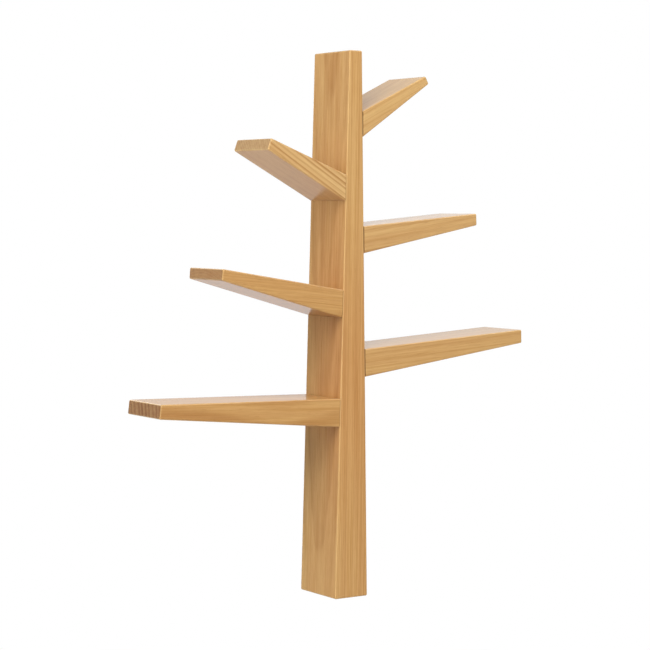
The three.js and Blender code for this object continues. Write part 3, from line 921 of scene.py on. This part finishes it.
# %% Shapes that recipes draw
class ShapeNodes(Nodes):
    """A geometry tree, with the shapes that a lathe, a press and a drill make."""

    def in_turn(self, values):
        """A field that gives each point of a line the value that is its turn."""
        node = self.tree.nodes.new("GeometryNodeIndexSwitch")
        node.data_type = "FLOAT"
        for _ in values[2:]:
            node.index_switch_items.new()
        self.feed(node.inputs[0], self.node("GeometryNodeInputIndex"))
        for socket, value in zip(node.inputs[1:], values):
            self.feed(socket, value)
        return Value(self, node.outputs[0])

    def swept(self, profile, stations):
        """A solid swept up the Z axis: at each station's height the profile has the station's scale."""
        heights, scales = zip(*stations)
        line = self.node("GeometryNodeMeshLine", None, {"Count": len(stations)})
        line = self.node("GeometryNodeMeshToCurve", None, {"Mesh": line})
        stand = {"Geometry": line, "Position": self.triple(z=self.in_turn(heights))}
        line = self.node("GeometryNodeSetPosition", None, stand)
        inputs = {"Curve": line, "Profile Curve": profile, "Scale": self.in_turn(scales), "Fill Caps": True}
        return self.node("GeometryNodeCurveToMesh", None, inputs)

    def triple(self, x=0, y=0, z=0):
        return self.node("ShaderNodeCombineXYZ", None, {"X": x, "Y": y, "Z": z})

    def circle(self, facets=32):
        return self.node("GeometryNodeCurvePrimitiveCircle", None, {"Resolution": facets, "Radius": 1})

    def turned(self, stations, facets=32):
        return self.swept(self.circle(facets), stations)

    def block(self, width, depth, height):
        return self.node("GeometryNodeMeshCube", None, {"Size": self.triple(width, depth, height)})

    def moved(self, shape, x=0, y=0, z=0, turn=(0, 0, 0)):
        inputs = {"Geometry": shape, "Translation": self.triple(x, y, z), "Rotation": turn}
        return self.node("GeometryNodeTransform", None, inputs)

    def joined(self, *shapes):
        return self.node("GeometryNodeJoinGeometry", None, {0: list(shapes)})

    def carved(self, body, *tools):
        settings = {"operation": "DIFFERENCE", "solver": "EXACT"}
        return self.node("GeometryNodeMeshBoolean", settings, {"Mesh 1": body, "Mesh 2": list(tools)})

    def thread(self, start, length, radius, pitch, ridge):
        """A screw thread: a three-sided ridge that winds round the Z axis."""
        turns = {"Resolution": 20, "Rotations": length / pitch, "Height": length}
        spiral = {**turns, "Start Radius": radius, "End Radius": radius}
        line = self.node("GeometryNodeCurveSpiral", None, spiral)
        line = self.node("GeometryNodeSetCurveNormal", {"mode": "Z_UP"}, {"Curve": line})
        profile = self.node("GeometryNodeCurvePrimitiveCircle", None, {"Resolution": 3, "Radius": ridge})
        inputs = {"Curve": line, "Profile Curve": profile, "Fill Caps": True}
        return self.moved(self.node("GeometryNodeCurveToMesh", None, inputs), z=start)


print("stations are heights and radii in millimetres")

# %% Recipes
class Recipe(ShapeNodes):
    """A tree that makes one fitting from its sizes and sets a copy of it at each place."""

    SEED = 7

    def __init__(self, name, finish, **sizes):
        super().__init__(bpy.data.node_groups.new(name, "GeometryNodeTree"))
        self.finish = finish
        self.sizes = sizes
        sockets = [("places", "INPUT", "NodeSocketGeometry")]
        sockets += [(size, "INPUT", "NodeSocketFloat") for size in sizes]
        for label, way, kind in sockets + [("fittings", "OUTPUT", "NodeSocketGeometry")]:
            self.tree.interface.new_socket(label, in_out=way, socket_type=kind)
        entry = self.node("NodeGroupInput")
        self.places = entry.output("places")
        self.inputs = {size: entry.output(size) for size in sizes}

    def set_out(self, shape):
        """Makes the fitting and sets out its copies, in one mesh that knows each point's own place."""
        own_place = self.node("GeometryNodeInputPosition")
        marked = {"Geometry": shape(self, **self.inputs), "Name": "own_place", "Value": own_place}
        fitting = self.node("GeometryNodeStoreNamedAttribute", {"data_type": "FLOAT_VECTOR"}, marked)
        chance = self.node("FunctionNodeRandomValue", {"data_type": "FLOAT"}, {"Seed": self.SEED}, 1)
        marked = {"Geometry": self.places, "Name": "chance", "Value": chance}
        places = self.node("GeometryNodeStoreNamedAttribute", {"data_type": "FLOAT"}, marked)
        turn = self.node("GeometryNodeInputNamedAttribute", {"data_type": "QUATERNION"}, {"Name": "turn"})
        inputs = {"Points": places, "Instance": fitting, "Rotation": turn, "Scale": (MM, MM, MM)}
        copies = self.node("GeometryNodeInstanceOnPoints", None, inputs)
        mesh = self.node("GeometryNodeRealizeInstances", None, {"Geometry": copies})
        mesh = self.node("GeometryNodeSetMaterial", None, {"Geometry": mesh, "Material": self.finish})
        self.feed(self.tree.nodes.new("NodeGroupOutput").inputs[0], mesh)


def basis(x, z):
    """The turn that lays a fitting's Z along z and its X along x."""
    return Matrix((x, z.cross(x), z)).transposed().to_quaternion()


def grow(recipe, shape, name, places, replaced):
    """Runs a recipe for a shape, keeps the result as one plain mesh, and lets it stand for the nodes."""
    recipe.set_out(shape)
    mesh = bpy.data.meshes.new(name + "_places")
    mesh.from_pydata([place for place, _ in places], [], [])
    turns = mesh.attributes.new("turn", "QUATERNION", "POINT")
    for i, (_, turn) in enumerate(places):
        turns.data[i].value = turn
    piece = linked(name + "_places", mesh)
    modifier = piece.modifiers.new("recipe", "NODES")
    modifier.node_group = recipe.tree
    for item in recipe.tree.interface.items_tree:
        if item.name in recipe.sizes:
            modifier[item.identifier] = float(recipe.sizes[item.name])
    piece = plain_mesh(piece, name)
    shade(piece)
    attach(piece, BODY)
    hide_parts(*replaced)
    print(name, "stands for", len(replaced), "nodes, with", len(piece.data.polygons), "faces")


print("a recipe's sizes are in millimetres, its places in metres, and its seed is", Recipe.SEED)

# %% [markdown]
# ## Metal and beech
#
# The fittings are mass goods of three makings, and each looks as it was made. A cam lock is cast in zinc:
# dull grey and faintly mottled. Bolts, screws and plates are steel with a thin bright zinc plating: turned
# parts keep fine rings from the lathe, and pressed plates keep the lines of the rolling mill. Dowels are
# beech, with short dark flecks along the grain. The finishes read the fitting's own place, which the
# recipes store in millimetres.

# %% Finishes of the fittings
PATCHES_PER_MM = 0.35
GRIT_PER_MM = 5
PATCH_EDGE = (0.35, 0.7)
PATCH_ROUGHNESS = 0.1
LINE_ROUGHNESS = 0.12
METAL_RELIEF = 0.4
CHANCE_SHIFT = 90


def fitting_noise(nodes, scale, detail=2, stretch=(1, 1, 1)):
    """Noise at the point's place on the fitting, drawn out along the axes that stretch makes small."""
    place = nodes.vector("MULTIPLY", nodes.attribute("own_place", "Vector"), stretch)
    place = nodes.vector("ADD", place, CHANCE_SHIFT * nodes.attribute("chance"))
    return nodes.node("ShaderNodeTexNoise", None, {"Vector": place, "Scale": scale, "Detail": detail}, "Fac")


def metal(name, pale, dull, roughness, stretch, relief):
    """A metal that is dull in patches, with lines along the axes that stretch makes small."""
    finish, nodes, surface = new_finish(name)
    patches = nodes.smooth_step(fitting_noise(nodes, PATCHES_PER_MM, 3), *PATCH_EDGE)
    lines = fitting_noise(nodes, GRIT_PER_MM, stretch=stretch)
    nodes.feed_all(surface, {
        "Metallic": 1,
        "Base Color": nodes.colour_mix(pale, dull, patches),
        "Roughness": roughness + PATCH_ROUGHNESS * patches + LINE_ROUGHNESS * lines,
        "Normal": nodes.bump(lines, METAL_RELIEF, relief),
    })
    return finish


cast_zinc = metal("cast_zinc", (0.42, 0.43, 0.44, 1), (0.3, 0.31, 0.33, 1), 0.34, (1, 1, 1), 0.0001)
turned_steel = metal("turned_steel", (0.62, 0.61, 0.57, 1), (0.5, 0.52, 0.56, 1), 0.2, (0.1, 0.1, 2), 0.00004)
rolled_steel = metal("rolled_steel", (0.46, 0.46, 0.45, 1), (0.35, 0.37, 0.4, 1), 0.36, (2, 0.06, 1), 0.00003)
print("metals:", cast_zinc.name, turned_steel.name, rolled_steel.name)

# %% Beech
BEECH_PALE = (0.62, 0.42, 0.23, 1)
BEECH_DEEP = (0.48, 0.29, 0.14, 1)
BEECH_FLECK = (0.3, 0.16, 0.07, 1)
STREAK_STRETCH = (1, 1, 0.08)
STREAKS_PER_MM = 1.6
FLECK_STRETCH = (1, 1, 0.25)
FLECKS_PER_MM = 3.5
FLECK_EDGE = (0.62, 0.72)
FLECK_SHARE = 0.7
BEECH_ROUGHNESS = 0.6
STREAK_ROUGHNESS = 0.2
BEECH_RELIEF = (0.3, 0.0001)

beech, nodes, surface = new_finish("beech")
streaks = fitting_noise(nodes, STREAKS_PER_MM, 3, STREAK_STRETCH)
flecks = nodes.smooth_step(fitting_noise(nodes, FLECKS_PER_MM, 1, FLECK_STRETCH), *FLECK_EDGE)
colour = nodes.colour_mix(BEECH_PALE, BEECH_DEEP, streaks)
nodes.feed_all(surface, {
    "Base Color": nodes.colour_mix(colour, BEECH_FLECK, flecks * FLECK_SHARE),
    "Roughness": BEECH_ROUGHNESS + STREAK_ROUGHNESS * streaks,
    "Normal": nodes.bump(streaks, *BEECH_RELIEF),
})
print("wood of the dowels:", beech.name)

# %% [markdown]
# ## Cam locks
#
# A cam lock is a zinc cup that fills its pocket in the trunk's back. The bolt's head comes in through a
# round entry in the cup's wall and sits in the hollow. A slot runs from the entry round the wall, wide
# enough for the bolt's neck but not for its head, so a half turn with a screwdriver draws the branch tight.
# A cross recess takes the driver, and a small arrow above the entry shows where the bolt comes in.

# %% Cam locks
lock_recipe = Recipe(
    "cam_lock_recipe", cast_zinc, radius=7.2, height=15, arris=0.5, bolt_depth=9.2, hollow_radius=4.8,
    entry_radius=3.6, entry_angle=math.radians(120), slot_height=4.4, slot_start=math.radians(-32),
    recess_length=7, recess_width=1.6, recess_depth=3.5, arrow_size=1.1, arrow_inset=1.9, arrow_depth=0.3,
)


def cross_recess(recipe, tip, mouth, facets, beyond=0):
    """The tools that cut a cross for a driver: two bars, and a cone for its point."""
    length, width, depth = (recipe.inputs["recess_" + size] for size in ("length", "width", "depth"))
    bars = [recipe.block(length, width, 2 * depth), recipe.block(width, length, 2 * depth)]
    return bars + [recipe.turned([(-depth - beyond, tip), (0, mouth * width)], facets)]


def cam_cup(recipe, radius, height, arris, **others):
    rim = radius - arris
    stations = [(-height, rim), (arris - height, radius), (-arris, radius), (0, rim)]
    return recipe.turned(stations, facets=64)


def cam_slot(recipe, radius, entry_angle, slot_height, slot_start, **others):
    """A flat piece of pie that opens the wall of the cup, from the start of the slot to the entry."""
    sweep = {"Start Angle": slot_start, "Sweep Angle": entry_angle - slot_start}
    pie = {"Resolution": 40, "Radius": 2 * radius, "Connect Center": True, **sweep}
    half = slot_height / 2
    return recipe.swept(recipe.node("GeometryNodeCurveArc", None, pie), [(-half, 1), (half, 1)])


def cam_lock(recipe, radius, bolt_depth, hollow_radius, entry_radius, entry_angle, arrow_size, arrow_inset,
             arrow_depth, **others):
    about = recipe.triple(z=entry_angle)
    hollow = recipe.turned([(-entry_radius, hollow_radius), (entry_radius, hollow_radius)], facets=48)
    entry = recipe.turned([(0, entry_radius), (2 * radius, entry_radius)])
    entry = recipe.moved(entry, turn=(0, math.pi / 2, 0))
    slot = cam_slot(recipe, **recipe.inputs)
    arrow = recipe.swept(recipe.circle(3), [(-arrow_depth, arrow_size), (arrow_depth, arrow_size)])
    arrow = recipe.moved(recipe.moved(arrow, x=radius - arrow_inset), turn=about)
    depth = -bolt_depth
    inside = [recipe.moved(tool, z=depth) for tool in (hollow, slot)]
    inside.append(recipe.moved(entry, z=depth, turn=about))
    recess = cross_recess(recipe, tip=0.6, mouth=1, facets=24)
    return recipe.carved(cam_cup(recipe, **recipe.inputs), *inside, *recess, arrow)


places = [(lock.at(lock.end), basis(joint.out, TO_WALL)) for joint in joints.values() for lock in joint.locks]
grow(lock_recipe, cam_lock, "cam_locks", places, sorted_names("cam_lock"))

# %% [markdown]
# ## Cam bolts
#
# Each bolt is turned from steel rod: a crowned head and a thin neck for the cam lock, a shank, a collar
# that ends level with the trunk's side, and beyond it a coarse wood thread, which is cut as a ridge that
# winds round a core.

# %% Cam bolts
bolt_recipe = Recipe(  # head, neck, shank, collar and core are radii
    "cam_bolt_recipe", turned_steel, head=3.2, head_end=-24.64, head_length=3.6, neck=1.8, neck_end=-16.2,
    shank=3, collar=3.9, collar_length=2, core=2.2, length=20, tip=2.5, thread_start=0.6, pitch=2.5,
    ridge=0.75,
)
CROWN = [(0, 0.55), (0.4, 0.85), (1.1, 1)]
EDGE_BREAK = 0.3
STEP = 0.05
TIP_SHARE = 0.35
THREAD_LEFT_OFF = 3.2


def cam_bolt(recipe, head, head_end, head_length, neck, neck_end, shank, collar, collar_length, core, length,
             tip, thread_start, pitch, ridge):
    shoulder, collar_start = head_end + head_length, -collar_length
    crown = [(head_end + rise, share * head) for rise, share in CROWN]
    body = recipe.turned([
        *crown, (shoulder - EDGE_BREAK, head), (shoulder, head - EDGE_BREAK), (shoulder + STEP, neck),
        (neck_end - EDGE_BREAK, neck), (neck_end, shank - EDGE_BREAK), (neck_end + EDGE_BREAK, shank),
        (collar_start, shank), (collar_start + STEP, collar - EDGE_BREAK),
        (collar_start + STEP + EDGE_BREAK, collar), (-STEP - EDGE_BREAK, collar),
        (-STEP, collar - EDGE_BREAK), (0, core), (length - tip, core), (length, TIP_SHARE * core),
    ])
    return recipe.joined(body, recipe.thread(thread_start, length - THREAD_LEFT_OFF, core, pitch, ridge))


def places_in_joints(kind):
    """A place for each bolt or dowel, where it crosses its joint, with Z out of the trunk."""
    pins = [(joint, pin) for joint in joints.values() for pin in getattr(joint, kind)]
    return [(pin.at(joint.plane), basis(-TO_WALL, joint.out)) for joint, pin in pins]


places = places_in_joints("bolts")
grow(bolt_recipe, cam_bolt, "cam_bolts", places, sorted_names("cam_bolt"))

# %% [markdown]
# ## Dowels
#
# A beech dowel sits half in the trunk and half in the branch. It is pressed through a toothed die, which
# leaves flutes along it that let the glue spread, so its profile is a star of many low points.

# %% Dowels
dowel_recipe = Recipe("dowel_recipe", beech, radius=5, length=40, chamfer=1, flute_depth=0.35)
FLUTES = 24


def dowel(recipe, radius, length, chamfer, flute_depth):
    half, end = length / 2, radius - chamfer
    teeth = {"Points": FLUTES, "Inner Radius": 1 - flute_depth / radius, "Outer Radius": 1, "Twist": 0}
    star = recipe.node("GeometryNodeCurveStar", None, teeth)
    stations = [(-half, end), (chamfer - half, radius), (half - chamfer, radius), (half, end)]
    return recipe.swept(star, stations)


places = places_in_joints("dowels")
grow(dowel_recipe, dowel, "dowels", places, sorted_names("dowel"))

# %% [markdown]
# ## Keyhole plates and their screws
#
# Two pressed steel plates are let into the trunk's back. The head of a wall screw goes in through the round
# entry, and the trunk then drops until the screw's shank stands at the top of the slot. Each plate is held
# by two countersunk screws with a cross recess, and each screw stopped where it bit, so no two recesses
# stand alike.

# %% Keyhole plates
plate_recipe = Recipe(
    "keyhole_plate_recipe", rolled_steel, length=46, radius=8, thickness=2, entry_radius=4.6, entry_drop=7,
    slot_radius=2.3, screw_spacing=34, screw_hole=1.8, countersink=3.3,
)
BURR = (0.2, 0.98)
PRESSED_EDGE = [(-0.25, 1), (-0.07, 0.992), (0, 0.98)]


def keyhole_plate(recipe, length, radius, thickness, entry_radius, entry_drop, slot_radius, screw_spacing,
                  screw_hole, countersink):
    oblong = {"Width": 2 * radius, "Height": length}
    outline = recipe.node("GeometryNodeCurvePrimitiveQuadrilateral", None, oblong)
    fillet = {"Curve": outline, "Count": 16, "Radius": radius, "Limit Radius": True}
    outline = recipe.node("GeometryNodeFilletCurve", {"mode": "POLY"}, fillet)
    burr_height, burr_scale = BURR
    plate = recipe.swept(outline, [(-thickness, burr_scale), (burr_height - thickness, 1), *PRESSED_EDGE])
    entry = recipe.turned([(-2 * thickness, entry_radius), (thickness, entry_radius)], facets=48)
    slot_end = recipe.turned([(-2 * thickness, slot_radius), (thickness, slot_radius)])
    slot = recipe.block(2 * slot_radius, 2 * entry_drop, 4 * thickness)
    cone = [(-4, screw_hole), (-1.9, screw_hole), (-0.3, countersink), (1, countersink)]
    sinks = [recipe.moved(recipe.turned(cone, facets=48), y=side * screw_spacing) for side in (0.5, -0.5)]
    ends = [recipe.moved(entry, y=-entry_drop), recipe.moved(slot_end, y=entry_drop)]
    return recipe.carved(plate, *ends, slot, *sinks)


def plate_place(name):
    low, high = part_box(name)
    return Vector(((low.x + high.x) / 2, high.y, (low.z + high.z) / 2)), basis(Vector((-1, 0, 0)), TO_WALL)


places = [plate_place(name) for name in hangers]
grow(plate_recipe, keyhole_plate, "keyhole_plates", places, hangers)

# %% Screws of the plates
screw_recipe = Recipe(  # head and core are radii
    "plate_screw_recipe", turned_steel, head=3, head_height=1.6, core=1.05, length=16, point=3, pitch=1.3,
    ridge=0.42, recess_length=3.2, recess_width=0.75, recess_depth=1.1,
)
FIRST_STOP = 0.4
STOP_STEP = 0.9


def plate_screw(recipe, head, head_height, core, length, point, pitch, ridge, **others):
    body = recipe.turned([
        (-length, 0.08), (point - length, core), (-head_height, core + 0.3), (-0.35, head - 0.1),
        (-0.12, head), (0, head - 0.15),
    ])
    thread = recipe.thread(point - length - 1, length - point - 2, core, pitch, ridge)
    recess = cross_recess(recipe, tip=0.2, mouth=0.9, facets=16, beyond=0.4)
    return recipe.joined(recipe.carved(body, *recess), thread)


places = []
for i, screw in enumerate(screws):
    stop = FIRST_STOP + STOP_STEP * i
    places.append((screw.at(screw.end), basis(Vector((math.cos(stop), 0, math.sin(stop))), TO_WALL)))
grow(screw_recipe, plate_screw, "plate_screws", places, sorted_names("hanger_screw"))

# %% Sizes
print("solid box", solid_box)
